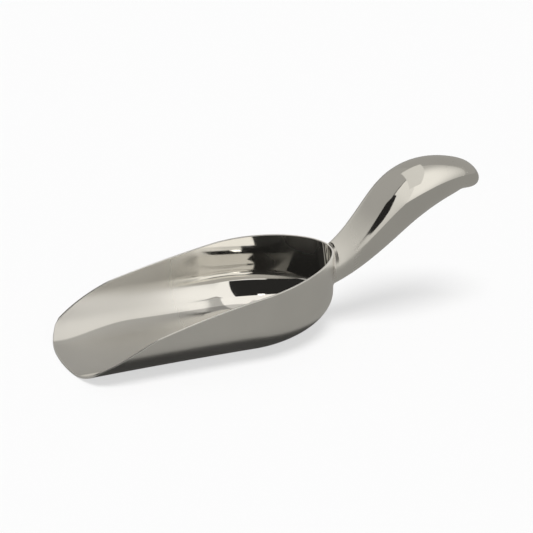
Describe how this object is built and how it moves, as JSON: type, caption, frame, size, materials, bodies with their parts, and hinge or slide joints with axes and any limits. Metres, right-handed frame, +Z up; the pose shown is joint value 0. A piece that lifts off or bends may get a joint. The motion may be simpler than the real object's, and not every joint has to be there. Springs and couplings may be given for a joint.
{
  "type": "ice scoop",
  "caption": "Hand scoop for ice: a deep pressed sheet-metal bowl open at the front, with a hollow S-curved handle welded to its back.",
  "frame": {"origin": "under the middle of the overall length, on the plane the bowl's flat floor rests on", "axes": "+X from the lip to the end of the handle, +Z up, and the scoop is mirror-symmetric about the XZ plane"},
  "size_m": [0.2311, 0.0768, 0.0837],
  "materials": {
    "bowl_steel": "satin outside, mirror polished inside",
    "handle_steel": "polished, with faint cross brushing near the root",
    "weld_steel": "ground and polished"
  },
  "bodies": {
    "root": {"bowl": "bowl_steel", "handle_shell_left": "handle_steel", "handle_shell_right": "handle_steel", "handle_seam_weld": "weld_steel", "handle_root_weld": "weld_steel"}
  },
  "joints": []
}
